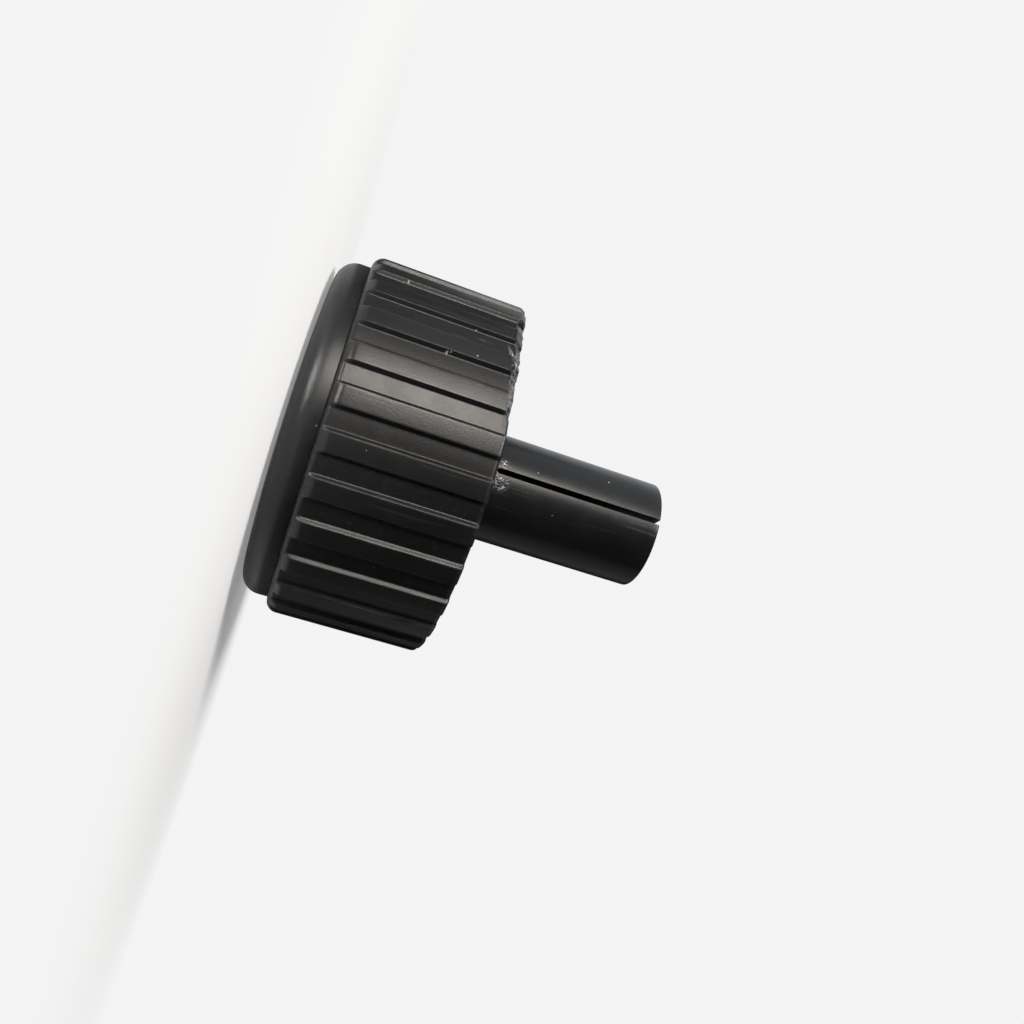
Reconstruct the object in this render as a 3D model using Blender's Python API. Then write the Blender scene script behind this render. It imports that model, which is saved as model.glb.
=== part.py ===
# Control knob with a ribbed grip sleeve and a split spring stem
import math

import bmesh
import bpy
from mathutils import Matrix

# Overall sizes
KNOB_RADIUS = 0.0180
FACE_TO_SEAM = 0.0033
SLEEVE_LENGTH = 0.01511
STEM_PAST_RIM = 0.01958

# Head of the moulding
COLLAR_STEP = 0.00085
FACE_CROWN = 0.0004
FACE_FLAT_RADIUS = 0.0060
FACE_ROUNDING = 0.00196
FACE_WALL = 0.0022
COLLAR_EDGE = 0.0001

# Drum under the sleeve, and the hollow behind it
DRUM_WALL = 0.0020
SLEEVE_CLEARANCE = 0.0003
DRUM_SET_BACK = 0.0004
HOLLOW_FILLET = 0.0010

# Split stem
STEM_RADIUS = 0.00555
STEM_TIP_EDGE = 0.00025
BORE_RADIUS = 0.0032
BORE_DEPTH = 0.0280
SLOT_WIDTH = 0.0006
SLOT_ROOT_PAST_RIM = 0.00206
SLOT_ANGLE = math.radians(-19.4)

# Ribbed sleeve
SLEEVE_WALL = 0.0016
PAD_COUNT = 28
PAD_HEIGHT = 0.0004
PAD_TOP_WIDTH = 0.00185
PAD_WALL_RUN = 0.00027
PAD_EDGE_ROUNDING = 0.00013
SLEEVE_END_STEP = 0.00008
PAD_END_LENGTH = 0.00132
CHANNEL_END_LENGTH = 0.00069
PAD_CORNER_ROUNDING = 0.00045
RIM_ROUNDING = 0.00046
FIRST_PAD_ANGLE = math.radians(1.49)

# Worn stretch of the rim, as angle, half width in pitches, and shares of the deepest loss
RIM_LOSS = 0.00045
GOUGE_LENGTH = 0.0013
GOUGE_DEPTH = 0.00055
RIM_LOSS_SHARES = (
    (-62.0, 0.35, 0.55), (-56.0, 0.45, 1.0), (-49.0, 0.50, 0.75),
    (-41.0, 0.45, 0.95), (-33.0, 0.40, 0.80), (-26.0, 0.45, 0.45),
)
GOUGE_SHARES = (
    (-58.0, 0.18, 0.95), (-51.0, 0.40, 0.70), (-38.8, 0.22, 1.0), (-34.0, 0.16, 0.65),
)

# Fineness of the round forms
TURN_STEPS = 96
ARC_STEPS = 4
OVERRUN = 0.0010

# Rows of the sleeve's surface, as shares of its end rounding, and the drop in a pad edge's rounding
SEAM_ROW_SHARES = (0, 0.05, 0.16, 0.32, 0.56, 1)
RIM_ROW_SHARES = (1, 0.5, 0.134, 0)
EDGE_DROP_SHARE = 1 / 3

SEAM_Z = FACE_TO_SEAM
RIM_Z = SEAM_Z + SLEEVE_LENGTH
TIP_Z = RIM_Z + STEM_PAST_RIM
SLOT_ROOT_Z = RIM_Z + SLOT_ROOT_PAST_RIM
CHANNEL_RADIUS = KNOB_RADIUS - PAD_HEIGHT
COLLAR_RADIUS = CHANNEL_RADIUS - COLLAR_STEP
SLEEVE_END_RADIUS = COLLAR_RADIUS + SLEEVE_END_STEP
SLEEVE_BORE = CHANNEL_RADIUS - SLEEVE_WALL
DRUM_RADIUS = SLEEVE_BORE - SLEEVE_CLEARANCE
PITCH = math.tau / PAD_COUNT


def clear_scene():
    for item in list(bpy.data.objects):
        bpy.data.objects.remove(item, do_unlink=True)


def make_material(name, colour, roughness, metallic):
    material = bpy.data.materials.new(name)
    material.use_nodes = True
    shader = material.node_tree.nodes["Principled BSDF"]
    shader.inputs["Base Color"].default_value = (*colour, 1.0)
    shader.inputs["Roughness"].default_value = roughness
    shader.inputs["Metallic"].default_value = metallic
    return material


def make_object(name, mesh_data, material):
    mesh = bpy.data.meshes.new(name)
    bmesh.ops.recalc_face_normals(mesh_data, faces=mesh_data.faces)
    mesh_data.to_mesh(mesh)
    mesh_data.free()
    piece = bpy.data.objects.new(name, mesh)
    bpy.context.scene.collection.objects.link(piece)
    if material is not None:
        mesh.materials.append(material)
    return piece


def arc(centre_r, centre_z, radius, start, end, steps):
    points = []
    for step in range(steps + 1):
        angle = start + (end - start) * step / steps
        points.append((centre_r + radius * math.cos(angle), centre_z + radius * math.sin(angle)))
    return points


def turned(profile, steps):
    # Profile runs from the axis, down or up the section, and back to the axis
    mesh_data = bmesh.new()
    rings = []
    for radius, height in profile:
        if radius == 0:
            rings.append([mesh_data.verts.new((0, 0, height))])
            continue
        ring = []
        for step in range(steps):
            angle = math.tau * step / steps
            ring.append(mesh_data.verts.new((radius * math.cos(angle), radius * math.sin(angle), height)))
        rings.append(ring)
    for low, high in zip(rings, rings[1:]):
        for step in range(steps):
            after = (step + 1) % steps
            if len(low) == 1:
                mesh_data.faces.new((low[0], high[step], high[after]))
            elif len(high) == 1:
                mesh_data.faces.new((low[step], low[after], high[0]))
            else:
                mesh_data.faces.new((low[step], low[after], high[after], high[step]))
    return mesh_data


def body_profile():
    half_turn = math.pi
    quarter = half_turn / 2
    corner_r = COLLAR_RADIUS - FACE_ROUNDING
    corner_z = FACE_CROWN + FACE_ROUNDING
    collar_end = SEAM_Z - SLEEVE_CLEARANCE
    floor_z = FACE_CROWN + FACE_WALL
    drum_end = RIM_Z - DRUM_SET_BACK
    hollow_radius = DRUM_RADIUS - DRUM_WALL

    points = [(0, 0)]
    crown_steps = ARC_STEPS
    for step in range(crown_steps):
        share = step / crown_steps
        points.append((FACE_FLAT_RADIUS + (corner_r - FACE_FLAT_RADIUS) * share, FACE_CROWN * share * share))
    points += arc(corner_r, corner_z, FACE_ROUNDING, -quarter, 0, ARC_STEPS + 1)
    points += arc(COLLAR_RADIUS - COLLAR_EDGE, collar_end - COLLAR_EDGE, COLLAR_EDGE, 0, quarter, 2)
    points.append((DRUM_RADIUS, collar_end))
    points.append((DRUM_RADIUS, drum_end))
    points.append((hollow_radius, drum_end))
    points += arc(hollow_radius - HOLLOW_FILLET, floor_z + HOLLOW_FILLET, HOLLOW_FILLET, 0, -quarter, 2)
    points += arc(STEM_RADIUS + HOLLOW_FILLET, floor_z + HOLLOW_FILLET, HOLLOW_FILLET, -quarter, -half_turn, 2)
    points.append((STEM_RADIUS, TIP_Z - STEM_TIP_EDGE))
    points.append((STEM_RADIUS - STEM_TIP_EDGE, TIP_Z))
    points.append((BORE_RADIUS + STEM_TIP_EDGE, TIP_Z))
    points.append((BORE_RADIUS, TIP_Z - STEM_TIP_EDGE))
    points.append((BORE_RADIUS, TIP_Z - BORE_DEPTH))
    points.append((0, TIP_Z - BORE_DEPTH))
    return points


def cut(target, cutter):
    cutter.hide_render = True
    cutter.display_type = "WIRE"
    modifier = target.modifiers.new("cut", "BOOLEAN")
    modifier.operation = "DIFFERENCE"
    modifier.solver = "EXACT"
    modifier.object = cutter
    bpy.context.view_layer.update()
    evaluated = target.evaluated_get(bpy.context.evaluated_depsgraph_get())
    mesh = bpy.data.meshes.new_from_object(evaluated)
    target.modifiers.clear()
    target.data = mesh
    bpy.data.objects.remove(cutter, do_unlink=True)


def slot_cutter():
    # One saw cut right across the stem, from its tip down to the root
    mesh_data = bmesh.new()
    bmesh.ops.create_cube(mesh_data, size=2)
    half_length = STEM_RADIUS + OVERRUN
    half_height = (TIP_Z + OVERRUN - SLOT_ROOT_Z) / 2
    size = Matrix.Diagonal((half_length, SLOT_WIDTH / 2, half_height, 1))
    place = Matrix.Translation((0, 0, SLOT_ROOT_Z + half_height)) @ Matrix.Rotation(SLOT_ANGLE, 4, "Z")
    bmesh.ops.transform(mesh_data, matrix=place @ size, verts=mesh_data.verts)
    return make_object("slot_cutter", mesh_data, None)


def hump(angle, table, deepest):
    # The deepest loss at this angle, each entry falling off smoothly to its sides
    most = 0
    for centre, half_width, share in table:
        away = abs(math.remainder(angle - math.radians(centre), math.tau)) / (half_width * PITCH)
        if away < 1:
            most = max(most, share * (1 - away * away) ** 2)
    return most * deepest


def quarter_drop(distance, length, depth):
    # How far a quarter ellipse lies under its full height, this far in from its end
    if distance >= length:
        return 0
    return depth * (1 - math.sqrt(1 - (1 - distance / length) ** 2))


def pad_section():
    # Half a pad across its width, as arc distance from its middle and share of its height
    top = PAD_TOP_WIDTH / 2
    foot = top + PAD_WALL_RUN
    edge = PAD_EDGE_ROUNDING
    ease = EDGE_DROP_SHARE * edge / PAD_HEIGHT
    return ((top - edge, 1), (top, 1 - ease), (foot, ease), (foot + edge, 0))


def sleeve_columns():
    # Each column: pad middle, arc distance from it and share of the pad's height
    columns = []
    half = pad_section()
    for pad in range(PAD_COUNT):
        middle = FIRST_PAD_ANGLE + PITCH * pad
        for distance, share in reversed(half):
            columns.append((middle, -distance, share))
        for distance, share in half:
            columns.append((middle, distance, share))
    return columns


def sleeve_point(column, row):
    middle, distance, share = column
    angle = middle + distance / KNOB_RADIUS
    rim_z = RIM_Z - hump(angle, RIM_LOSS_SHARES, RIM_LOSS)
    gouge = hump(angle, GOUGE_SHARES, 1)
    rim_length = RIM_ROUNDING + gouge * GOUGE_LENGTH
    rim_depth = RIM_ROUNDING + gouge * GOUGE_DEPTH
    if row < len(SEAM_ROW_SHARES):
        along = PAD_END_LENGTH * SEAM_ROW_SHARES[row]
        height = SEAM_Z + along
    else:
        back = rim_length * RIM_ROW_SHARES[row - len(SEAM_ROW_SHARES)]
        height = rim_z - back
        along = height - SEAM_Z
    # The pad narrows over its last stretch at the seam, which rounds its corners in plan
    pull = quarter_drop(along, PAD_CORNER_ROUNDING, PAD_CORNER_ROUNDING)
    side = math.copysign(max(abs(distance) - pull, 0), distance)
    # Pads and channels both round down to the sleeve's end, just above the collar
    pad_end = KNOB_RADIUS - quarter_drop(along, PAD_END_LENGTH, KNOB_RADIUS - SLEEVE_END_RADIUS)
    channel_drop = quarter_drop(along, CHANNEL_END_LENGTH, CHANNEL_RADIUS - SLEEVE_END_RADIUS)
    channel_end = CHANNEL_RADIUS - channel_drop
    radius = channel_end + (pad_end - channel_end) * share
    if row >= len(SEAM_ROW_SHARES):
        radius -= quarter_drop(rim_z - height, rim_length, rim_depth)
    placed = middle + side / KNOB_RADIUS
    return radius * math.cos(placed), radius * math.sin(placed), height


def build_sleeve(material):
    columns = sleeve_columns()
    row_count = len(SEAM_ROW_SHARES) + len(RIM_ROW_SHARES)
    mesh_data = bmesh.new()
    rings = []
    for row in range(row_count):
        rings.append([mesh_data.verts.new(sleeve_point(column, row)) for column in columns])
    # The bore's rings follow the outer columns, so the end faces are plain quads
    for row in (row_count - 1, 0):
        ring = []
        for outer in rings[row]:
            angle = math.atan2(outer.co.y, outer.co.x)
            ring.append(mesh_data.verts.new(
                (SLEEVE_BORE * math.cos(angle), SLEEVE_BORE * math.sin(angle), outer.co.z)))
        rings.append(ring)
    rings.append(rings[0])
    for low, high in zip(rings, rings[1:]):
        for step in range(len(columns)):
            after = (step + 1) % len(columns)
            mesh_data.faces.new((low[step], low[after], high[after], high[step]))
    sleeve = make_object("grip_sleeve", mesh_data, material)
    sleeve.data.shade_smooth()
    return sleeve


def build_body(material):
    body = make_object("knob_body", turned(body_profile(), TURN_STEPS), material)
    cut(body, slot_cutter())
    body.data.shade_smooth()
    return body


clear_scene()
build_body(make_material("satin_black_plastic", (0.012, 0.013, 0.015), 0.36, 0.0))
build_sleeve(make_material("grip_black_plastic", (0.018, 0.018, 0.019), 0.55, 0.0))
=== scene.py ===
import math

import bmesh
import bpy
from bpy.props import FloatProperty, FloatVectorProperty, IntProperty, PointerProperty
from bpy.types import Operator, Panel, PropertyGroup
from mathutils import Matrix, Vector, noise


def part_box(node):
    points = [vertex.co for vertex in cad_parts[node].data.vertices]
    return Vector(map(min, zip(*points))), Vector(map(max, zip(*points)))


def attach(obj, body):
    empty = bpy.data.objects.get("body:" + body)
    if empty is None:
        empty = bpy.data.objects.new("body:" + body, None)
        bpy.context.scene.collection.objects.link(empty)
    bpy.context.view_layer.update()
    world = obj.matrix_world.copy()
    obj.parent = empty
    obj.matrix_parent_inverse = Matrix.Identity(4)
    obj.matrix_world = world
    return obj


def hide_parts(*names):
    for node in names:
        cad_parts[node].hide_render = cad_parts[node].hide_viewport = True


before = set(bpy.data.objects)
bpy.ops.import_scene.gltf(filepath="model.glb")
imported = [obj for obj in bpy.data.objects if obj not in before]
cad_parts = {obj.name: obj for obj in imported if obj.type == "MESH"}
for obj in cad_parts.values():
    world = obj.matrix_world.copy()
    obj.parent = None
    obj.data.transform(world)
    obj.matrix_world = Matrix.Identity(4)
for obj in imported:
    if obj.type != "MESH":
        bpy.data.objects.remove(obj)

bl_info = {
    "name": "Ribbed control knob",
    "version": (1, 0, 0),
    "blender": (4, 5, 0),
    "location": "3D View > Sidebar > Knob",
    "description": "Dresses a round control knob with a ribbed grip sleeve and a split stem",
    "category": "Object",
}

BODY_LOW, BODY_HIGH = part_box("knob_body")
SLEEVE_LOW, SLEEVE_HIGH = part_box("grip_sleeve")
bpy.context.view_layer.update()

MM = 0.001
TO_MM = 1000
QUARTER = math.pi / 2

FACE_Z = BODY_LOW[2]
TIP_Z = BODY_HIGH[2]
SEAM_Z = SLEEVE_LOW[2]
RIM_Z = SLEEVE_HIGH[2]
SLEEVE_RADIUS = 0.0180
FIRST_PAD_ANGLE = math.radians(1.49)
SLOT_ANGLE = math.radians(-19.4)

# Parts of the moulding that no setting changes, in metres
FACE_FLAT_RADIUS = 0.0060
DRUM_RADIUS = 0.0157
DRUM_SHORT_OF_RIM = 0.0004
HOLLOW_RADIUS = 0.0137
HOLLOW_FLOOR = 0.0022
BORE_DEPTH = 0.0280
SEAM_GAP = 0.00001

# Marks of use, each as angle in degrees, height above the face in mm and size in mm
LINT = (
    (-59.6, 6.88, 0.12), (-33.6, 11.56, 0.15), (-34.0, 11.90, 0.08), (-35.4, 14.17, 0.11),
    (-46.4, 13.65, 0.08), (0.6, 7.50, 0.05), (32.8, 11.15, 0.06), (53.8, 7.96, 0.08),
)
STEM_LINT = ((-48.0, 32.0, 0.09), (-30.0, 24.5, 0.06), (8.0, 27.0, 0.05), (-60.0, 28.5, 0.05))
# Nicks at the seam; the one at -1.5 degrees is a faint painted highlight at a pad's end, not a nick
SEAM_NICKS_AND_GLINT = ((-1.5, 3.1, 0.12), (43.0, 3.1, 0.10), (-26.0, 3.0, 0.06))
# Smears on the sleeve: angle, height in mm, half width in degrees, half length in mm, and how far
# the smear leans, in mm up for each degree
SMEARS = (
    (-43.4, 14.9, 1.0, 1.3, 0.0), (-41.6, 12.2, 0.5, 0.9, 0.0),
    (-26.2, 15.3, 0.4, 1.2, 0.0), (-22.6, 9.0, 0.3, 2.4, 0.0),
)
# Pale lips of torn plastic at the rim, in the same columns
TORN_LIPS = (
    (-41.4, 17.24, 2.7, 0.17, 0.11), (-36.9, 17.66, 1.3, 0.08, 0.05),
    (-57.4, 18.15, 0.8, 0.08, 0.0),
)

# Worn rim: angle in degrees and how much of the edge is gone there, in mm
RIM_LOSSES = (
    (-74.0, 0.0), (-66.0, 0.06), (-61.0, 0.14), (-56.5, 0.25), (-50.0, 0.31), (-44.0, 0.28),
    (-41.0, 0.25), (-38.6, 0.45), (-36.0, 0.28), (-33.4, 0.34), (-29.0, 0.25), (-24.0, 0.27),
    (-21.5, 0.29), (-19.0, 0.12), (-13.0, 0.0),
)
# Torn places: angle, distance back from the rim in mm, half width in degrees, half length in mm,
# depth in mm, and how far the place leans, in mm back for each degree
RIM_GOUGES = (
    (-58.8, 0.45, 1.7, 0.34, 0.75, 0.00), (-48.5, 0.30, 8.5, 0.60, 0.20, -0.02),
    (-41.6, 1.30, 2.8, 0.20, 0.26, -0.10), (-35.0, 0.50, 1.9, 0.46, 0.40, -0.04),
    (-31.9, 0.38, 1.3, 0.34, 0.30, 0.00), (-22.0, 0.26, 0.9, 0.30, 0.22, 0.00),
)
WORN_FROM, WORN_TO = RIM_LOSSES[0][0], RIM_LOSSES[-1][0]
# How far back from the rim the wear can reach, in metres
WORN_LENGTH = 0.0021

# Where the floor's looks change, in metres from the knob's axis: from pale to dull in the light
# it throws, to nothing in what the knob mirrors, and to the background in what the camera sees
BOUNCE_ZONE = (0.022, 0.045)
MIRRORED_ZONE = (0.0205, 0.030)
BACKGROUND_ZONE = (0.03, 0.07)
# The stretch of y over which the floor's sheen sets in, in metres
SHEEN_ZONE = (-0.0145, -0.0085)
BACKGROUND = (0.90, 0.90, 0.90)

# The camera fitted to the photograph
CAMERA_PLACE = (0.09665, 0.0, 0.00448)
CAMERA_RIGHT = (0.18502, -0.30453, 0.93430)
CAMERA_FORWARD = (-0.97970, 0.01755, 0.19970)
CAMERA_LENS = 33.65
# The point that every lamp is turned to
LAMP_AIM = (0, 0, 0.012)


class BodySettings(PropertyGroup):
    """Sizes and colour of the moulding"""

    collar_radius: FloatProperty(
        name="Collar radius", description="Outside radius of the head before the seam",
        default=0.01675, unit="LENGTH", precision=5)
    crown: FloatProperty(
        name="Crown", description="How far the middle of the face stands out",
        default=0.0004, unit="LENGTH", precision=5)
    face_rounding: FloatProperty(
        name="Face rounding", description="Radius of the bead round the face",
        default=0.00196, unit="LENGTH", precision=5)
    stem_radius: FloatProperty(
        name="Stem radius", description="Outside radius of the split stem",
        default=0.00555, unit="LENGTH", precision=5)
    bore_radius: FloatProperty(
        name="Bore radius", description="Radius of the hole that takes the shaft",
        default=0.0032, unit="LENGTH", precision=5)
    slot_width: FloatProperty(
        name="Slot width", description="Width of the saw cut across the stem",
        default=0.0006, unit="LENGTH", precision=5)
    slot_root: FloatProperty(
        name="Slot root", description="Height of the slot's closed end above the face",
        default=0.02047, unit="LENGTH", precision=5)
    turn_steps: IntProperty(
        name="Turn steps", description="Faces round the moulding", default=240, min=48)
    colour: FloatVectorProperty(
        name="Plastic colour", description="Base colour of the satin plastic",
        subtype="COLOR", size=3, min=0, max=1, default=(0.0055, 0.0059, 0.0068))


class SleeveSettings(PropertyGroup):
    """Sizes and colour of the ribbed sleeve"""

    pad_count: IntProperty(
        name="Pads", description="Raised pads round the sleeve", default=28, min=3)
    pad_height: FloatProperty(
        name="Pad height", description="How far a pad stands above its channels",
        default=0.0004, unit="LENGTH", precision=5)
    pad_half_top: FloatProperty(
        name="Half pad",
        description="Half the width of a pad's top, to the middle of its edge rounding",
        default=0.00089, unit="LENGTH", precision=5)
    wall_run: FloatProperty(
        name="Wall run", description="Width of a pad's sloping side",
        default=0.00026, unit="LENGTH", precision=6)
    edge_ease: FloatProperty(
        name="Edge rounding", description="Half the width of the rounding at a pad's edge",
        default=0.00003, unit="LENGTH", precision=6)
    foot_ease: FloatProperty(
        name="Foot rounding", description="Half the width of the rounding at a pad's foot",
        default=0.00008, unit="LENGTH", precision=6)
    end_radius: FloatProperty(
        name="End radius", description="Outside radius of the sleeve where it meets the head",
        default=0.01683, unit="LENGTH", precision=5)
    pad_end: FloatProperty(
        name="Pad end rounding", description="Length over which a pad rounds down at the seam",
        default=0.00114, unit="LENGTH", precision=5)
    channel_end: FloatProperty(
        name="Channel end rounding",
        description="Length over which a channel rounds down at the seam",
        default=0.00050, unit="LENGTH", precision=5)
    corner: FloatProperty(
        name="Pad corner", description="Rounding of a pad's corners seen from above",
        default=0.00045, unit="LENGTH", precision=5)
    rim_rounding: FloatProperty(
        name="Rim rounding", description="Edge rounding at the open end",
        default=0.00046, unit="LENGTH", precision=5)
    bore: FloatProperty(
        name="Sleeve bore", description="Inside radius of the sleeve",
        default=0.0160, unit="LENGTH", precision=5)
    colour: FloatVectorProperty(
        name="Grip colour", description="Base colour of the duller grip plastic",
        subtype="COLOR", size=3, min=0, max=1, default=(0.0048, 0.0049, 0.0054))


class StageSettings(PropertyGroup):
    """Floor, lamps and world"""

    floor_colour: FloatVectorProperty(
        name="Floor", description="Colour of the plain floor",
        subtype="COLOR", size=3, min=0, max=1, default=(0.86, 0.86, 0.86))
    floor_radius: FloatProperty(
        name="Floor radius", description="Radius of the plain floor",
        default=2.5, unit="LENGTH")
    floor_lift: FloatProperty(
        name="Floor lift", description="What the camera sees the near floor give of itself",
        default=0.29)
    # A glow of the near floor that only reflections see: painted light in the knob's reflections
    reflection_glow: FloatProperty(
        name="Mirrored floor lift",
        description="What reflections see the near floor give of itself", default=0.16)
    far_bounce: FloatProperty(
        name="Far bounce", description="How pale the far floor is to everything but the camera",
        default=0.16, min=0, max=1)
    key_power: FloatProperty(
        name="Key lamp", description="Power of the low lamp beside the camera", default=0.88)
    high_key_power: FloatProperty(
        name="High key lamp", description="Power of the tall lamp over the low one",
        default=0.64)
    fill_power: FloatProperty(
        name="Fill lamp", description="Power of the wide lamp at the knob's side", default=0.54)
    back_power: FloatProperty(
        name="Back lamp", description="Power of the wide lamp behind the knob", default=0.40)
    far_fill_power: FloatProperty(
        name="Far fill lamp", description="Power of the faint lamp on the knob's shaded side",
        default=0.12)
    overhead_power: FloatProperty(
        name="Overhead lamp", description="Power of the lamp over the floor", default=2.4)
    world_level: FloatProperty(
        name="World", description="Level of the even light from all round", default=0.035)


class Wire:
    """One value in a node tree; sums on it add Math nodes."""

    def __init__(self, finish, socket):
        self.finish = finish
        self.socket = socket

    def _sum(self, operation, first, second, clamp=False):
        return self.finish.node(
            "ShaderNodeMath", {"operation": operation, "use_clamp": clamp}, {0: first, 1: second})

    def __add__(self, other):
        return self._sum("ADD", self, other)

    __radd__ = __add__

    def __sub__(self, other):
        return self._sum("SUBTRACT", self, other)

    def __rsub__(self, other):
        return self._sum("SUBTRACT", other, self)

    def __mul__(self, other):
        return self._sum("MULTIPLY", self, other)

    __rmul__ = __mul__

    def __truediv__(self, other):
        return self._sum("DIVIDE", self, other)

    def __pow__(self, other):
        return self._sum("POWER", self, other)

    def above(self, low, high):
        """0 under low, 1 over high, and a smooth rise between them."""
        return self.finish.node(
            "ShaderNodeMapRange", {"interpolation_type": "SMOOTHSTEP"},
            {"Value": self, "From Min": low, "From Max": high})

    def most(self, other):
        """The larger of the two."""
        return self._sum("MAXIMUM", self, other)

    def kept(self):
        """The same value, kept between 0 and 1."""
        return self._sum("ADD", self, 0.0, clamp=True)


class Finish:
    """A material in the making."""

    def __init__(self, name):
        self.material = bpy.data.materials.new(name)
        self.material.use_nodes = True
        self.tree = self.material.node_tree
        self.tree.nodes.clear()

    def node(self, kind, settings=None, values=None, out=0):
        """Adds a node and gives back one of its outputs, or all of them where out is None."""
        made = self.tree.nodes.new(kind)
        for key, value in (settings or {}).items():
            setattr(made, key, value)
        for key, value in (values or {}).items():
            if isinstance(value, Wire):
                self.tree.links.new(value.socket, made.inputs[key])
            else:
                made.inputs[key].default_value = value
        if out is None:
            return [Wire(self, socket) for socket in made.outputs]
        return Wire(self, made.outputs[out]) if made.outputs else None

    def place(self):
        return self.node("ShaderNodeTexCoord", out="Object")

    def parts(self, place):
        """The place's x, y and z."""
        return self.node("ShaderNodeSeparateXYZ", values={0: place}, out=None)

    def attribute(self, name):
        return self.node("ShaderNodeAttribute", {"attribute_name": name}, out="Fac")

    def vector(self, operation, values, out=0):
        return self.node("ShaderNodeVectorMath", {"operation": operation}, values, out)

    def stretched(self, place, scale):
        return self.vector("MULTIPLY", {0: place, 1: scale})

    def clouds(self, place, scale, detail=3.0, rough=0.55, warp=0.0, out=0):
        return self.node("ShaderNodeTexNoise", {"noise_dimensions": "3D"}, {
            "Vector": place, "Scale": scale, "Detail": detail, "Roughness": rough,
            "Distortion": warp}, out)

    def cells(self, place, scale):
        """How far the nearest of many scattered points is."""
        return self.node(
            "ShaderNodeTexVoronoi", {"feature": "F1"}, {"Vector": place, "Scale": scale},
            "Distance")

    def colour_mix(self, share, first, second):
        """A Mix node by its colour sockets, which are 6 and 7 going in and 2 coming out."""
        return self.node(
            "ShaderNodeMix", {"data_type": "RGBA"}, {0: share, 6: first, 7: second}, 2)

    def spot(self, place, centre, size):
        """1 at the centre and 0 past the size, for a small mark on the surface."""
        away = self.vector("DISTANCE", {0: place, 1: centre}, "Value")
        return 1 - away.above(size * 0.45, size)

    def bump(self, height, strength, distance, normal=None):
        values = {"Height": height, "Strength": strength, "Distance": distance}
        if normal is not None:
            values["Normal"] = normal
        return self.node("ShaderNodeBump", values=values)

    def surface(self, **values):
        """Ends the material in one Principled shader with these values."""
        shader = self.node("ShaderNodeBsdfPrincipled", values={
            key.replace("_", " "): value for key, value in values.items()})
        return self.ended(shader)

    def ended(self, shader):
        self.node("ShaderNodeOutputMaterial", values={"Surface": shader})
        return self.material


def opaque(colour):
    return (*colour, 1.0)


def shade(colour, factor):
    return opaque(part * factor for part in colour)


def on_side(angle_degrees, height_mm, radius):
    angle = math.radians(angle_degrees)
    return (radius * math.cos(angle), radius * math.sin(angle), height_mm * MM)


def smooth(share):
    """A smooth rise from 0 to 1, level outside them."""
    share = min(max(share, 0.0), 1.0)
    return share * share * (3 - 2 * share)


def arc(centre_r, centre_z, radius, start, end, steps):
    points = []
    for step in range(steps + 1):
        angle = start + (end - start) * step / steps
        points.append((centre_r + radius * math.cos(angle), centre_z + radius * math.sin(angle)))
    return points


def finished_piece(name, mesh, node_name, sharp_degrees):
    mesh.shade_smooth()
    mesh.set_sharp_from_angle(angle=math.radians(sharp_degrees))
    piece = bpy.data.objects.new(name, mesh)
    bpy.context.scene.collection.objects.link(piece)
    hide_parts(node_name)
    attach(piece, "root")


def marks(finish, place, table, radius):
    """All the small round marks of a table in one mask."""
    degrees_in_mm = math.degrees(MM / radius)
    rows = [(angle, height, size * degrees_in_mm, size, 0.0) for angle, height, size in table]
    return smears(finish, place, rows, 0.45)


def smears(finish, place, table, core=0.3):
    """All the smears of a table in one mask, full in their core and soft at their edges."""
    x, y, z = finish.parts(place)
    radians = finish.node("ShaderNodeMath", {"operation": "ARCTAN2"}, {0: y, 1: x})
    degrees = radians * math.degrees(1)
    mask = None
    for angle, height, half_width, half_length, lean in table:
        beside = degrees - angle
        across = beside / half_width
        along = (z - height * MM - beside * (lean * MM)) / (half_length * MM)
        smear = 1 - ((across * across + along * along) ** 0.5).above(core, 1.0)
        mask = smear if mask is None else mask.most(smear)
    return mask


def ragged(finish, place, scale, amount):
    """The place moved about by noise, so that marks drawn on it get uneven edges."""
    wander = finish.clouds(place, scale, 2.0, 0.5, out="Color")
    centred = finish.vector("SUBTRACT", {0: wander, 1: (0.5, 0.5, 0.5)})
    small = finish.vector("SCALE", {0: centred, "Scale": amount})
    return finish.vector("ADD", {0: place, 1: small})


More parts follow.
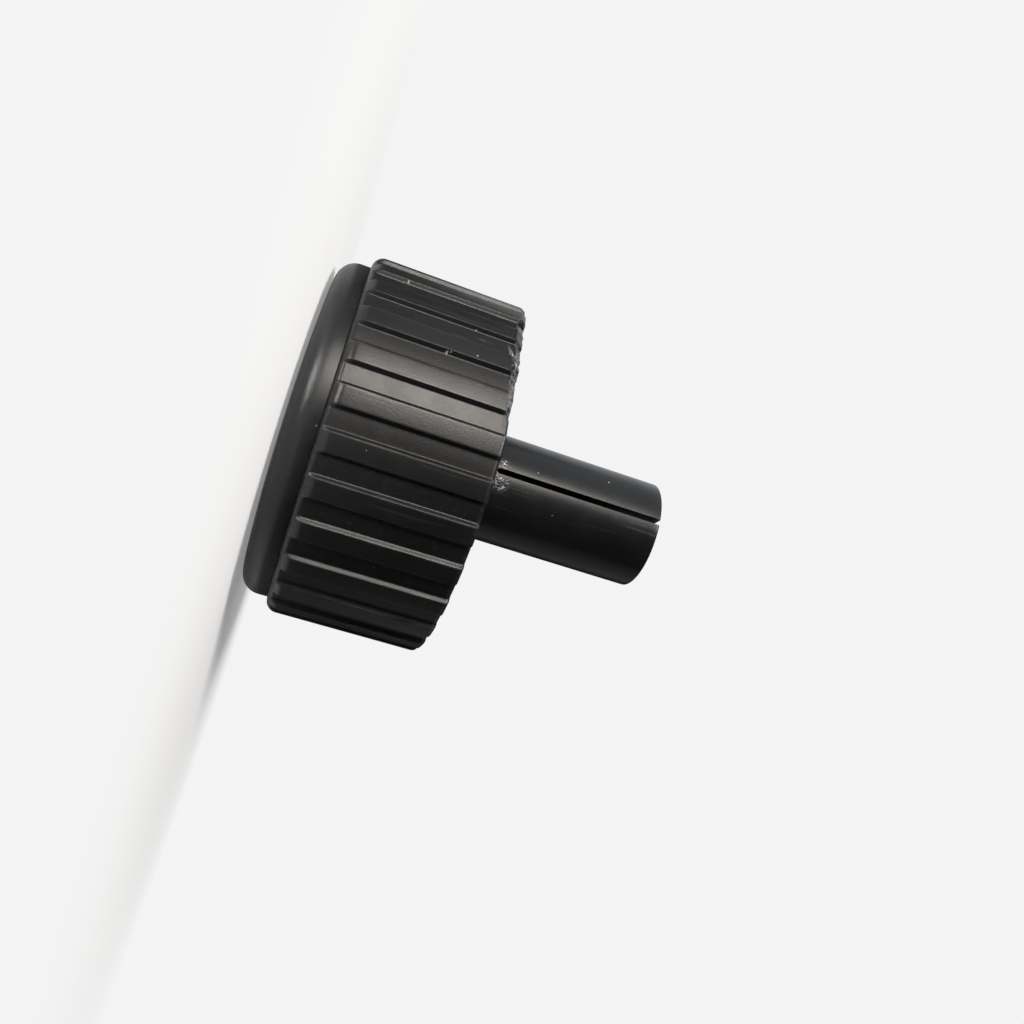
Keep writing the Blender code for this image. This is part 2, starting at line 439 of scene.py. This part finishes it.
def satin_plastic(colour, stem_radius, collar_radius, slot_root):
    """The moulding's black plastic, with scratches, dust and the slot's whitened root."""
    finish = Finish("satin_black_plastic_skin")
    place = finish.place()
    x, y = finish.parts(place)[:2]
    broad = finish.clouds(place, 90.0, 3.0)
    blotch = finish.clouds(place, 420.0, 4.0, 0.6)
    grain = finish.clouds(place, 5200.0, 2.0, 0.6)
    flow = finish.clouds(finish.stretched(place, (1.0, 1.0, 0.12)), 1500.0, 2.0)
    radius = (x * x + y * y) ** 0.5

    # Fine scratches: along the stem, and across the head where fingers and cloths pass
    along_stem = finish.stretched(place, (1.0, 1.0, 0.03))
    stem_lines = finish.clouds(along_stem, 4200.0, 1.0).above(0.66, 0.72)
    across_face = finish.stretched(place, (0.06, 1.0, 1.0))
    face_lines = finish.clouds(across_face, 3600.0, 1.0, warp=0.4).above(0.70, 0.75)
    stem_area = 1 - radius.above(stem_radius * 1.02, stem_radius * 1.2)
    lines = stem_lines * stem_area + face_lines * (1 - stem_area)

    # Whitening of the legs where the saw cut ends, more of it on the leg below the cut
    rough_place = ragged(finish, place, 2600.0, 0.0006)
    slot = math.degrees(SLOT_ANGLE)
    root_height = slot_root * TO_MM
    root_centre = on_side(slot + 9.5, root_height + 0.50, stem_radius)
    upper_centre = on_side(slot - 6.5, root_height + 0.45, stem_radius)
    root_area = finish.spot(rough_place, root_centre, 0.00125)
    upper_area = finish.spot(rough_place, upper_centre, 0.00085)
    crazing_place = finish.stretched(place, (1.0, 1.0, 0.6))
    crazing = finish.clouds(crazing_place, 6400.0, 3.0, 0.7, warp=1.2).above(0.53, 0.60)
    whitening = (root_area.most(upper_area) * crazing).kept()

    dust_place = ragged(finish, place, 9000.0, 0.00012)
    lint = marks(finish, dust_place, STEM_LINT, stem_radius)
    nicks_and_glint = marks(finish, dust_place, SEAM_NICKS_AND_GLINT, collar_radius)
    dust = (1 - finish.cells(place, 1400.0).above(0.0, 0.09)) * blotch.above(0.56, 0.66)
    # The pale layer: whitening, lint, dust and seam nicks, one of them a painted highlight
    pale = whitening.most(lint).most(nicks_and_glint * 0.12).most(dust * 0.16)

    base = finish.colour_mix(broad.above(0.35, 0.65), shade(colour, 0.75), shade(colour, 1.5))
    base = finish.colour_mix(lines * 0.10, base, opaque((0.05, 0.052, 0.056)))
    base = finish.colour_mix(pale, base, opaque((0.60, 0.60, 0.60)))

    handled = blotch.above(0.40, 0.62)
    rough = 0.345 - stem_area * 0.06 + handled * 0.04 + lines * 0.08 + pale * 0.35
    height = grain * 0.55 + flow * 0.25 + lines * -0.5
    normal = finish.bump(height, 0.16, 0.00004)
    normal = finish.bump(whitening + nicks_and_glint, 0.5, 0.00006, normal)
    return finish.surface(Base_Color=base, Roughness=rough, Normal=normal, IOR=1.44)


def grip_plastic(colour, radius):
    """The sleeve's duller plastic, rubbed on its pads, partly painted highlight on their lit edges,
    and pale where its rim is torn, partly painted reflection.
    """
    finish = Finish("grip_black_plastic_skin")
    place = finish.place()
    torn = finish.attribute("torn")
    worn = finish.attribute("worn_and_highlit_edge")
    rise = finish.attribute("rise")
    broad = finish.clouds(place, 110.0, 3.0)
    blotch = finish.clouds(place, 520.0, 4.0, 0.62)
    grain = finish.clouds(place, 4300.0, 3.0, 0.62)
    pits = finish.cells(place, 5200.0)

    # Long rubbed streaks along the pads, and short cross scuffs
    along_pads = finish.stretched(place, (1.0, 1.0, 0.045))
    streaks = finish.clouds(along_pads, 2400.0, 2.0).above(0.58, 0.72)
    across_pads = finish.stretched(place, (1.0, 0.25, 1.0))
    scuffs = finish.clouds(across_pads, 3300.0, 2.0, warp=0.8).above(0.68, 0.74)
    rub = (streaks * 0.6 + scuffs * blotch.above(0.55, 0.65)) * rise
    smear = smears(finish, place, SMEARS) * blotch.above(0.38, 0.62)

    dust_place = ragged(finish, place, 8000.0, 0.00014)
    lint = marks(finish, dust_place, LINT, radius)
    lips = smears(finish, ragged(finish, place, 5000.0, 0.00010), TORN_LIPS, 0.45)
    # Paler edges of the pads: rubbed wear, and on the edge facing the key lamp partly painted
    # highlight
    edge_place = finish.stretched(place, (1.0, 1.0, 0.25))
    edge = worn * finish.clouds(edge_place, 1500.0, 3.0, 0.65).above(0.32, 0.62)
    grit = (1 - rise) * finish.clouds(place, 2300.0, 3.0, 0.7).above(0.55, 0.75)
    # Pale bluish where the rim is torn: whitened torn plastic, partly a painted reflection on the
    # torn band
    torn_pale_and_reflection = torn * finish.clouds(place, 2600.0, 3.0, 0.7).above(0.30, 0.62)

    base = finish.colour_mix(broad.above(0.35, 0.66), shade(colour, 0.78), shade(colour, 1.45))
    for share, layer in (
            (rub * 0.28, (0.055, 0.053, 0.050)),
            (edge * 0.32, (0.115, 0.110, 0.104)),
            (grit * 0.16, (0.10, 0.095, 0.085)),
            (smear * 0.30, (0.10, 0.10, 0.10)),
            ((torn_pale_and_reflection * 0.85).kept(), (0.19, 0.205, 0.225)),
            (lips * 0.9, (0.40, 0.39, 0.35)),
            (lint * 0.8, (0.40, 0.39, 0.37))):
        base = finish.colour_mix(share, base, opaque(layer))

    rough = 0.365 + blotch.above(0.35, 0.65) * 0.03 - streaks * rise * 0.02
    rough = rough + torn * 0.2 + lint * 0.3
    height = grain * 0.7 + pits * 0.3 + rub * -0.4
    normal = finish.bump(height, 0.22, 0.00005)
    torn_height = torn * finish.clouds(place, 5200.0, 3.0, 0.7)
    normal = finish.bump(torn_height, 0.5, 0.00008, normal)
    return finish.surface(Base_Color=base, Roughness=rough, Normal=normal, IOR=1.48)


def body_profile(size):
    """The moulding's section, from the middle of its face round to the bottom of the bore."""
    corner_r = size.collar_radius - size.face_rounding
    corner_z = FACE_Z + size.crown + size.face_rounding
    collar_end = SEAM_Z - SEAM_GAP
    collar_edge = 0.00003
    foot_run, foot_rise = 0.0004, 0.0003
    drum_end = RIM_Z - DRUM_SHORT_OF_RIM
    drum_edge = 0.0002
    floor_z = FACE_Z + size.crown + HOLLOW_FLOOR
    fillet = 0.0010
    tip_edge = 0.00028
    stem_start = floor_z + fillet
    stem_end = TIP_Z - tip_edge
    bore_end = TIP_Z - BORE_DEPTH

    points = [(0.0, FACE_Z), (FACE_FLAT_RADIUS * 0.5, FACE_Z)]
    for step in range(12):
        share = step / 12
        points.append((
            FACE_FLAT_RADIUS + (corner_r - FACE_FLAT_RADIUS) * share,
            FACE_Z + size.crown * share * share))
    points += arc(corner_r, corner_z, size.face_rounding, -QUARTER, 0, 18)
    points += arc(
        size.collar_radius - collar_edge, collar_end - collar_edge, collar_edge, 0, QUARTER, 5)
    points.append((DRUM_RADIUS + foot_run, collar_end))
    points.append((DRUM_RADIUS, collar_end + foot_rise))
    points += arc(DRUM_RADIUS - drum_edge, drum_end - drum_edge, drum_edge, 0, QUARTER, 3)
    points += arc(
        HOLLOW_RADIUS + drum_edge, drum_end - drum_edge, drum_edge, QUARTER, math.pi, 3)
    points += arc(HOLLOW_RADIUS - fillet, stem_start, fillet, 0, -QUARTER, 7)
    points += arc(size.stem_radius + fillet, stem_start, fillet, -QUARTER, -math.pi, 7)
    for step in range(1, 40):
        points.append((size.stem_radius, stem_start + (stem_end - stem_start) * step / 40))
    points += arc(size.stem_radius - tip_edge, stem_end, tip_edge, 0, QUARTER, 5)
    points += arc(size.bore_radius + tip_edge, stem_end, tip_edge, QUARTER, math.pi, 4)
    for step in range(1, 12):
        points.append((size.bore_radius, stem_end - (stem_end - bore_end) * step / 12))
    points += [(size.bore_radius, bore_end), (0.0, bore_end)]
    return points


def turned(points, steps):
    """A section turned round the axis, closed where it meets the axis."""
    shape = bmesh.new()
    rings = []
    for radius, height in points:
        if radius == 0:
            rings.append([shape.verts.new((0, 0, height))])
            continue
        rings.append([shape.verts.new((
            radius * math.cos(math.tau * step / steps),
            radius * math.sin(math.tau * step / steps), height)) for step in range(steps)])
    for low, high in zip(rings, rings[1:]):
        for step in range(steps):
            after = (step + 1) % steps
            if len(low) == 1:
                shape.faces.new((low[0], high[after], high[step]))
            elif len(high) == 1:
                shape.faces.new((low[step], low[after], high[0]))
            else:
                shape.faces.new((low[step], low[after], high[after], high[step]))
    bmesh.ops.recalc_face_normals(shape, faces=shape.faces)
    return shape


def mesh_from(shape, name):
    mesh = bpy.data.meshes.new(name)
    shape.to_mesh(mesh)
    shape.free()
    return mesh


def saw_cut(size):
    """The blade's path across the stem, with a rounded root."""
    shape = bmesh.new()
    past_the_stem = 0.001
    half = size.slot_width / 2
    length = size.stem_radius + past_the_stem
    outline = [(half, TIP_Z + past_the_stem), (-half, TIP_Z + past_the_stem)]
    for step in range(9):
        angle = math.pi + math.pi * step / 8
        outline.append((half * math.cos(angle), size.slot_root + half + half * math.sin(angle)))
    ends = []
    for side in (-length, length):
        ends.append([shape.verts.new((side, across, height)) for across, height in outline])
    shape.faces.new(ends[0])
    shape.faces.new(list(reversed(ends[1])))
    for step in range(len(outline)):
        after = (step + 1) % len(outline)
        shape.faces.new((ends[0][step], ends[1][step], ends[1][after], ends[0][after]))
    bmesh.ops.recalc_face_normals(shape, faces=shape.faces)
    bmesh.ops.transform(shape, matrix=Matrix.Rotation(SLOT_ANGLE, 4, "Z"), verts=shape.verts)
    return mesh_from(shape, "saw_cut")


def evaluated_mesh(item):
    """The object's mesh as its modifiers leave it."""
    bpy.context.view_layer.update()
    depsgraph = bpy.context.evaluated_depsgraph_get()
    return bpy.data.meshes.new_from_object(item.evaluated_get(depsgraph))


def cut_mesh(mesh, tool_mesh):
    """The first mesh less the second."""
    target = bpy.data.objects.new("cut_target", mesh)
    tool = bpy.data.objects.new("cut_tool", tool_mesh)
    for item in (target, tool):
        bpy.context.scene.collection.objects.link(item)
    modifier = target.modifiers.new("cut", "BOOLEAN")
    modifier.operation = "DIFFERENCE"
    modifier.solver = "EXACT"
    modifier.object = tool
    result = evaluated_mesh(target)
    for item in (target, tool):
        bpy.data.objects.remove(item, do_unlink=True)
    return result


class KNOB_OT_moulding(Operator):
    """Make the moulding: domed head, collar, drum, hollow back and split stem"""

    bl_idname = "knob.moulding"
    bl_label = "Moulding"

    def execute(self, context):
        size = context.scene.knob_body_settings
        mesh = mesh_from(turned(body_profile(size), size.turn_steps), "moulding")
        mesh = cut_mesh(mesh, saw_cut(size))
        mesh.name = "moulding"
        mesh.materials.clear()
        mesh.materials.append(
            satin_plastic(tuple(size.colour), size.stem_radius, size.collar_radius, size.slot_root))
        if len(mesh.polygons) < size.turn_steps:
            raise RuntimeError("the saw cut took the moulding away")
        finished_piece("moulding", mesh, "knob_body", 40)
        return {"FINISHED"}


def eased_ramp(share, first, last):
    """0 to 1 over a straight ramp, with a rounding of its own at each end."""
    if share < -first:
        return 0.0
    if share < first:
        return (share + first) ** 2 / (4 * first)
    if share < 1 - last:
        return share
    if share < 1 + last:
        return 1 - (1 + last - share) ** 2 / (4 * last)
    return 1.0


def pad_columns(size, half_pitch):
    """Arc distances from a pad's middle, close together on its sloping sides."""
    top, foot = size.pad_half_top, size.pad_half_top + size.wall_run
    edge, ease = size.edge_ease, size.foot_ease
    half = [(top - edge) * step / 6 for step in range(6)]
    half += [top + edge * step / 2 for step in range(-2, 3)]
    half.append((top + edge + foot - ease) / 2)
    half += [foot + ease * step / 3 for step in range(-3, 4)]
    half += [foot + ease + (half_pitch - foot - ease) * step / 4 for step in range(1, 5)]
    return [-value for value in reversed(half[1:])] + half


def quarter_drop(distance, length, depth):
    """How far a rounding of this length and depth has still to rise at this distance."""
    if distance >= length:
        return 0.0
    return depth * (1 - math.sqrt(max(1 - (1 - distance / length) ** 2, 0)))


def pad_rows(size, length):
    """Distances from the seam, close together at both ends."""
    rows = [size.pad_end * (1 - math.cos(QUARTER * step / 12)) for step in range(13)]
    worn_from = length - WORN_LENGTH
    rows += [size.pad_end + (worn_from - size.pad_end) * step / 12 for step in range(1, 12)]
    rounding_from = length - size.rim_rounding
    rows += [worn_from + (rounding_from - worn_from) * step / 24 for step in range(24)]
    rows += [rounding_from + size.rim_rounding * math.sin(QUARTER * step / 7) for step in range(8)]
    return rows


def pad_sector(size):
    """One pad with half a channel at each side, through the sleeve's whole thickness."""
    length = RIM_Z - SEAM_Z
    half_pitch = math.tau / size.pad_count * SLEEVE_RADIUS / 2
    columns = pad_columns(size, half_pitch)
    channel_radius = SLEEVE_RADIUS - size.pad_height
    edge_reach, end_reach, rim_reach = 0.00011, 0.0005, 0.0006
    shape = bmesh.new()
    rise_layer = shape.verts.layers.float.new("rise")
    worn_and_highlit_layer = shape.verts.layers.float.new("worn_and_highlit_edge")
    rings = []

    def add_ring(make):
        ring = []
        for distance in columns:
            radius, angle, height, rise, edge = make(distance)
            vert = shape.verts.new((radius * math.cos(angle), radius * math.sin(angle), height))
            vert[rise_layer] = rise
            vert[worn_and_highlit_layer] = edge
            ring.append(vert)
        rings.append(ring)

    def outer(distance, along):
        side = abs(distance)
        rise = 1 - eased_ramp(
            (side - size.pad_half_top) / size.wall_run,
            size.edge_ease / size.wall_run, size.foot_ease / size.wall_run)
        # The pad's corners: its side edges come in where it ends at the seam
        pull = quarter_drop(along, size.corner, size.corner)
        if side < size.pad_half_top:
            pull *= side / size.pad_half_top
        elif side > size.pad_half_top + size.wall_run:
            rest = half_pitch - size.pad_half_top - size.wall_run
            pull *= (half_pitch - side) / rest
        placed = math.copysign(side - pull, distance)
        pad = SLEEVE_RADIUS - quarter_drop(along, size.pad_end, SLEEVE_RADIUS - size.end_radius)
        channel = channel_radius - quarter_drop(
            along, size.channel_end, channel_radius - size.end_radius)
        radius = channel + (pad - channel) * rise
        radius -= quarter_drop(length - along, size.rim_rounding, size.rim_rounding)
        # Where hands rub: most on each pad's edge that faces the key lamp, where the paleness is
        # partly painted highlight, less on the other and at both ends
        at_edge = 1 - min(abs(side - size.pad_half_top) / edge_reach, 1)
        at_edge *= 1.0 if distance < 0 else 0.25
        at_end = max(1 - abs(along - size.pad_end * 0.6) / end_reach, 0) * rise * 0.25
        at_rim = max(1 - (length - along) / rim_reach, 0) * 0.5
        angle = FIRST_PAD_ANGLE + placed / SLEEVE_RADIUS
        return radius, angle, SEAM_Z + along, rise, max(at_edge, at_end, at_rim)

    def inward(distance, share, at_rim):
        radius, angle = outer(distance, length if at_rim else 0.0)[:2]
        radius += (size.bore - radius) * share
        return radius, angle, RIM_Z if at_rim else SEAM_Z, 0.0, 0.0

    for along in pad_rows(size, length):
        add_ring(lambda distance: outer(distance, along))
    for step in range(1, 8):
        add_ring(lambda distance: inward(distance, step / 7, True))
    for step in range(1, 6):
        height = RIM_Z - length * step / 6
        add_ring(lambda distance: (size.bore, outer(distance, length)[1], height, 0.0, 0.0))
    for step in (2, 1):
        add_ring(lambda distance: inward(distance, step / 2, False))
    rings.append(rings[0])
    for low, high in zip(rings, rings[1:]):
        for step in range(len(columns) - 1):
            shape.faces.new((low[step], low[step + 1], high[step + 1], high[step]))
    return mesh_from(shape, "pad_sector")


def ring_of_pads_tree():
    """Geometry Nodes: the sector given, set round the axis and welded into one sleeve."""
    tree = bpy.data.node_groups.new("ring_of_pads", "GeometryNodeTree")
    sockets = tree.interface
    sockets.new_socket("Geometry", in_out="OUTPUT", socket_type="NodeSocketGeometry")
    sockets.new_socket("Geometry", in_out="INPUT", socket_type="NodeSocketGeometry")
    names = {}
    for name, kind in (("Pad Count", "NodeSocketInt"), ("Weld Distance", "NodeSocketFloat"),
                       ("Finish", "NodeSocketMaterial")):
        names[name] = sockets.new_socket(name, in_out="INPUT", socket_type=kind).identifier

    def add(kind, links=None, operation=None):
        made = tree.nodes.new(kind)
        if operation is not None:
            made.operation = operation
        for key, source in (links or {}).items():
            tree.links.new(source, made.inputs[key])
        return made

    given = add("NodeGroupInput").outputs
    points = add("GeometryNodePoints", {"Count": given["Pad Count"]})
    index = add("GeometryNodeInputIndex")
    step = add("ShaderNodeMath", {1: given["Pad Count"]}, "DIVIDE")
    step.inputs[0].default_value = math.tau
    turn = add("ShaderNodeMath", {0: index.outputs[0], 1: step.outputs[0]}, "MULTIPLY")
    euler = add("ShaderNodeCombineXYZ", {"Z": turn.outputs[0]})
    rotation = add("FunctionNodeEulerToRotation", {0: euler.outputs[0]})
    placed = add("GeometryNodeInstanceOnPoints", {
        "Points": points.outputs[0], "Instance": given["Geometry"],
        "Rotation": rotation.outputs[0]})
    real = add("GeometryNodeRealizeInstances", {0: placed.outputs[0]})
    welded = add("GeometryNodeMergeByDistance", {
        "Geometry": real.outputs[0], "Distance": given["Weld Distance"]})
    finish = add("GeometryNodeSetMaterial", {
        "Geometry": welded.outputs[0], "Material": given["Finish"]})
    add("NodeGroupOutput", {0: finish.outputs[0]})
    return tree, names


def ring_of_pads(sector, count, material):
    weld_distance = 0.000004
    tree, names = ring_of_pads_tree()
    holder = bpy.data.objects.new("pad_holder", sector)
    bpy.context.scene.collection.objects.link(holder)
    modifier = holder.modifiers.new("pads", "NODES")
    modifier.node_group = tree
    modifier[names["Pad Count"]] = count
    modifier[names["Weld Distance"]] = weld_distance
    modifier[names["Finish"]] = material
    mesh = evaluated_mesh(holder)
    bpy.data.objects.remove(holder, do_unlink=True)
    return mesh


def along_table(table, value):
    """The table's second column at this value of the first, with smooth steps between rows."""
    for (low, before), (high, after) in zip(table, table[1:]):
        if low <= value < high:
            return before + (after - before) * smooth((value - low) / (high - low))
    return 0.0


def torn_depth(degrees, back, wander):
    """How deep the torn places go here, in mm, and how near their edge this is."""
    border, slope, lip_width = 1.05, 0.75, 0.35
    deepest, lip = 0.0, 0.0
    for centre, centre_back, half_width, half_length, depth, lean in RIM_GOUGES:
        beside = degrees - centre
        across = beside / half_width
        along = (back - centre_back - lean * beside) / half_length
        away = math.hypot(across, along) + wander * 0.35
        deepest = max(deepest, depth * smooth((border - away) / slope))
        lip = max(lip, 1 - abs(away - border) / lip_width)
    return deepest, lip


def wear_the_rim(mesh, bore):
    """Wears and tears the open end over one stretch, and rubs the pads' edges."""
    torn = mesh.attributes.new("torn", "FLOAT", "POINT")
    edge = mesh.attributes["worn_and_highlit_edge"].data
    least_wall = 0.00003
    for index, vert in enumerate(mesh.vertices):
        x, y, z = vert.co
        radius = math.hypot(x, y)
        angle = math.atan2(y, x)
        degrees = math.degrees(angle)
        back = (RIM_Z - z) * TO_MM
        # 1 on the outer surface and 0 at the bore, which no wear reaches
        thick = smooth((radius - bore - 0.0001) / 0.0006)
        tear = 0.0
        if WORN_FROM < degrees < WORN_TO and back < WORN_LENGTH * TO_MM:
            loss = along_table(RIM_LOSSES, degrees)
            worn = smooth(loss / 0.30)
            nibble = noise.noise(Vector((x, y, 0)) * 1500) * 0.06
            nibble += noise.noise(Vector((x, y, 7)) * 3800) * 0.05
            wander = noise.noise(Vector((x * 2400, y * 2400, z * 2400)))
            z -= (loss + nibble * worn) * MM * smooth(1 - back / 1.9)
            cut, lip = torn_depth(degrees, back, wander)
            chamfer = 0.22 * worn * smooth(1 - back / (0.75 + 0.25 * wander))
            rough = noise.noise(vert.co * 5200) * 0.022 * worn * smooth(1 - back / 0.9)
            radius -= (cut + chamfer + rough - 0.05 * lip * worn) * MM * thick
            radius = max(radius, bore + least_wall) if thick > 0 else radius
            strength = smooth(loss / 0.32)
            tear = min(strength * smooth(1.3 - back / 0.75) + lip * strength * 0.4, 1)
            tear *= 1 - 0.8 * smooth(cut / 0.25)
        # Small waves and dents along the rubbed edges
        wave = noise.noise(Vector((math.cos(angle) * 40, math.sin(angle) * 40, z * 420)))
        fine = noise.noise(vert.co * 2600)
        radius -= (0.5 + fine) * 0.000012 * edge[index].value
        angle += wave * 0.00002 / SLEEVE_RADIUS * edge[index].value
        vert.co = (radius * math.cos(angle), radius * math.sin(angle), z)
        torn.data[index].value = tear
    mesh.update()


class KNOB_OT_sleeve(Operator):
    """Make the ribbed sleeve: one pad, set round by Geometry Nodes, then worn at its rim"""

    bl_idname = "knob.sleeve"
    bl_label = "Ribbed sleeve"

    def execute(self, context):
        size = context.scene.knob_sleeve_settings
        fewest_faces = 1000
        material = grip_plastic(tuple(size.colour), SLEEVE_RADIUS)
        mesh = ring_of_pads(pad_sector(size), size.pad_count, material)
        if len(mesh.polygons) < fewest_faces:
            raise RuntimeError("the ring of pads came out empty")
        shape = bmesh.new()
        shape.from_mesh(mesh)
        bmesh.ops.recalc_face_normals(shape, faces=shape.faces)
        shape.to_mesh(mesh)
        shape.free()
        wear_the_rim(mesh, size.bore)
        mesh.name = "ribbed_sleeve"
        finished_piece("ribbed_sleeve", mesh, "grip_sleeve", 50)
        return {"FINISHED"}


def floor_finish(colour, lift_level, reflection_glow_level, far_bounce):
    """A plain matt floor that runs into the background and throws little light from afar."""
    finish = Finish("plain_floor")
    x, y = finish.parts(finish.place())[:2]
    away = (x * x + y * y) ** 0.5
    seen = finish.node("ShaderNodeLightPath", out="Is Camera Ray")
    in_a_mirror = finish.node("ShaderNodeLightPath", out="Is Glossy Ray")
    mirrored = in_a_mirror * (1 - away.above(*MIRRORED_ZONE))

    def both(first, second):
        return finish.node("ShaderNodeAddShader", values={0: first, 1: second})

    def either(share, first, second):
        return finish.node("ShaderNodeMixShader", values={0: share, 1: first, 2: second})

    def matt(shade_colour):
        return finish.node("ShaderNodeBsdfDiffuse", values={"Color": opaque(shade_colour)})

    def glowing(shade_colour, level):
        return finish.node(
            "ShaderNodeEmission", values={"Color": opaque(shade_colour), "Strength": level})

    dull = away.above(*BOUNCE_ZONE) * (1 - seen)
    plain = either(dull, matt(colour), matt((far_bounce,) * 3))
    sheen = finish.node(
        "ShaderNodeBsdfGlossy", values={"Color": opaque((0.95, 0.94, 0.92)), "Roughness": 0.10})
    near = either(seen, plain, both(plain, glowing(colour, lift_level)))
    # Near the knob the floor glows for reflections alone: painted light that the knob's bead and
    # seam mirror
    under_the_bead = both(plain, glowing(colour, reflection_glow_level))
    near = either(mirrored, near, under_the_bead)
    near = either(mirrored * y.above(*SHEEN_ZONE), near, both(under_the_bead, sheen))
    return finish.ended(
        either(away.above(*BACKGROUND_ZONE) * seen, near, glowing(BACKGROUND, 1.0)))


def add_lamp(name, power, colour, direction, distance, size):
    data = bpy.data.lights.new(name, "AREA")
    data.shape = "ELLIPSE"
    data.size, data.size_y = size
    data.energy = power
    data.color = colour
    lamp = bpy.data.objects.new(name, data)
    bpy.context.scene.collection.objects.link(lamp)
    way = Vector(direction).normalized()
    lamp.location = Vector(LAMP_AIM) + way * distance
    lamp.rotation_mode = "QUATERNION"
    lamp.rotation_quaternion = way.to_track_quat("Z", "Y")
    lamp.visible_camera = False


def add_world(level):
    """An even dim light, with the background's plain colour for the camera alone."""
    world = bpy.data.worlds.new("plain_world")
    world.use_nodes = True
    tree = world.node_tree
    tree.nodes.clear()
    path = tree.nodes.new("ShaderNodeLightPath")
    seen = tree.nodes.new("ShaderNodeBackground")
    seen.inputs["Color"].default_value = opaque(BACKGROUND)
    even = tree.nodes.new("ShaderNodeBackground")
    even.inputs["Strength"].default_value = level
    mixed = tree.nodes.new("ShaderNodeMixShader")
    tree.links.new(path.outputs["Is Camera Ray"], mixed.inputs[0])
    tree.links.new(even.outputs[0], mixed.inputs[1])
    tree.links.new(seen.outputs[0], mixed.inputs[2])
    tree.links.new(mixed.outputs[0], tree.nodes.new("ShaderNodeOutputWorld").inputs[0])
    bpy.context.scene.world = world


def add_camera():
    right = Vector(CAMERA_RIGHT).normalized()
    forward = Vector(CAMERA_FORWARD)
    forward = (forward - right * forward.dot(right)).normalized()
    up = right.cross(forward)
    data = bpy.data.cameras.new("photo_camera")
    data.lens = CAMERA_LENS
    data.sensor_width = 36.0
    data.clip_start, data.clip_end = 0.001, 20.0
    camera = bpy.data.objects.new("photo_camera", data)
    bpy.context.scene.collection.objects.link(camera)
    turn = Matrix((right, up, -forward)).transposed().to_4x4()
    camera.matrix_world = Matrix.Translation(CAMERA_PLACE) @ turn
    bpy.context.scene.camera = camera


class KNOB_OT_stage(Operator):
    """Make the plain floor, the lamps, the world and the camera"""

    bl_idname = "knob.stage"
    bl_label = "Stage"

    def execute(self, context):
        size = context.scene.knob_stage_settings
        shape = bmesh.new()
        bmesh.ops.create_circle(shape, cap_ends=True, segments=96, radius=size.floor_radius)
        bmesh.ops.translate(shape, vec=(0, 0, FACE_Z), verts=shape.verts)
        mesh = mesh_from(shape, "floor")
        mesh.materials.append(floor_finish(
            tuple(size.floor_colour), size.floor_lift, size.reflection_glow, size.far_bounce))
        floor = bpy.data.objects.new("floor", mesh)
        context.scene.collection.objects.link(floor)
        add_world(size.world_level)
        warm, cool, even = (1.0, 0.94, 0.87), (0.92, 0.96, 1.0), (1.0, 0.985, 0.965)
        for lamp in (
                ("key", size.key_power, warm, (0.765, -0.642, 0.045), 0.45, (0.20, 0.058)),
                ("high_key", size.high_key_power, warm, (0.750, -0.629, 0.205), 0.45, (0.20, 0.18)),
                ("side_fill", size.fill_power, cool, (0.04, -0.90, 0.55), 0.50, (0.55, 0.55)),
                ("back_fill", size.back_power, cool, (-0.80, -0.52, 0.42), 0.50, (0.50, 0.36)),
                ("far_fill", size.far_fill_power, cool, (-0.30, 0.88, 0.36), 0.50, (0.50, 0.40)),
                ("overhead", size.overhead_power, even, (0.57, -0.44, 0.64), 0.60, (0.22, 0.22))):
            add_lamp(*lamp)
        add_camera()
        context.scene.view_settings.view_transform = "Standard"
        return {"FINISHED"}


class KNOB_PT_sidebar(Panel):
    """Lists the knob's pieces and their sizes"""

    bl_idname = "KNOB_PT_sidebar"
    bl_label = "Knob"
    bl_space_type = "VIEW_3D"
    bl_region_type = "UI"
    bl_category = "Knob"

    def draw(self, context):
        scene = context.scene
        for operator, settings in (
                ("knob.moulding", scene.knob_body_settings),
                ("knob.sleeve", scene.knob_sleeve_settings),
                ("knob.stage", scene.knob_stage_settings)):
            box = self.layout.box()
            box.operator(operator)
            for name in settings.__annotations__:
                box.prop(settings, name)


CLASSES = (
    BodySettings, SleeveSettings, StageSettings,
    KNOB_OT_moulding, KNOB_OT_sleeve, KNOB_OT_stage, KNOB_PT_sidebar,
)


def register():
    for item in CLASSES:
        bpy.utils.register_class(item)
    bpy.types.Scene.knob_body_settings = PointerProperty(type=BodySettings)
    bpy.types.Scene.knob_sleeve_settings = PointerProperty(type=SleeveSettings)
    bpy.types.Scene.knob_stage_settings = PointerProperty(type=StageSettings)


def unregister():
    del bpy.types.Scene.knob_stage_settings
    del bpy.types.Scene.knob_sleeve_settings
    del bpy.types.Scene.knob_body_settings
    for item in reversed(CLASSES):
        bpy.utils.unregister_class(item)


def main():
    register()
    bpy.ops.knob.moulding()
    bpy.ops.knob.sleeve()
    bpy.ops.knob.stage()


if __name__ == "__main__":
    main()
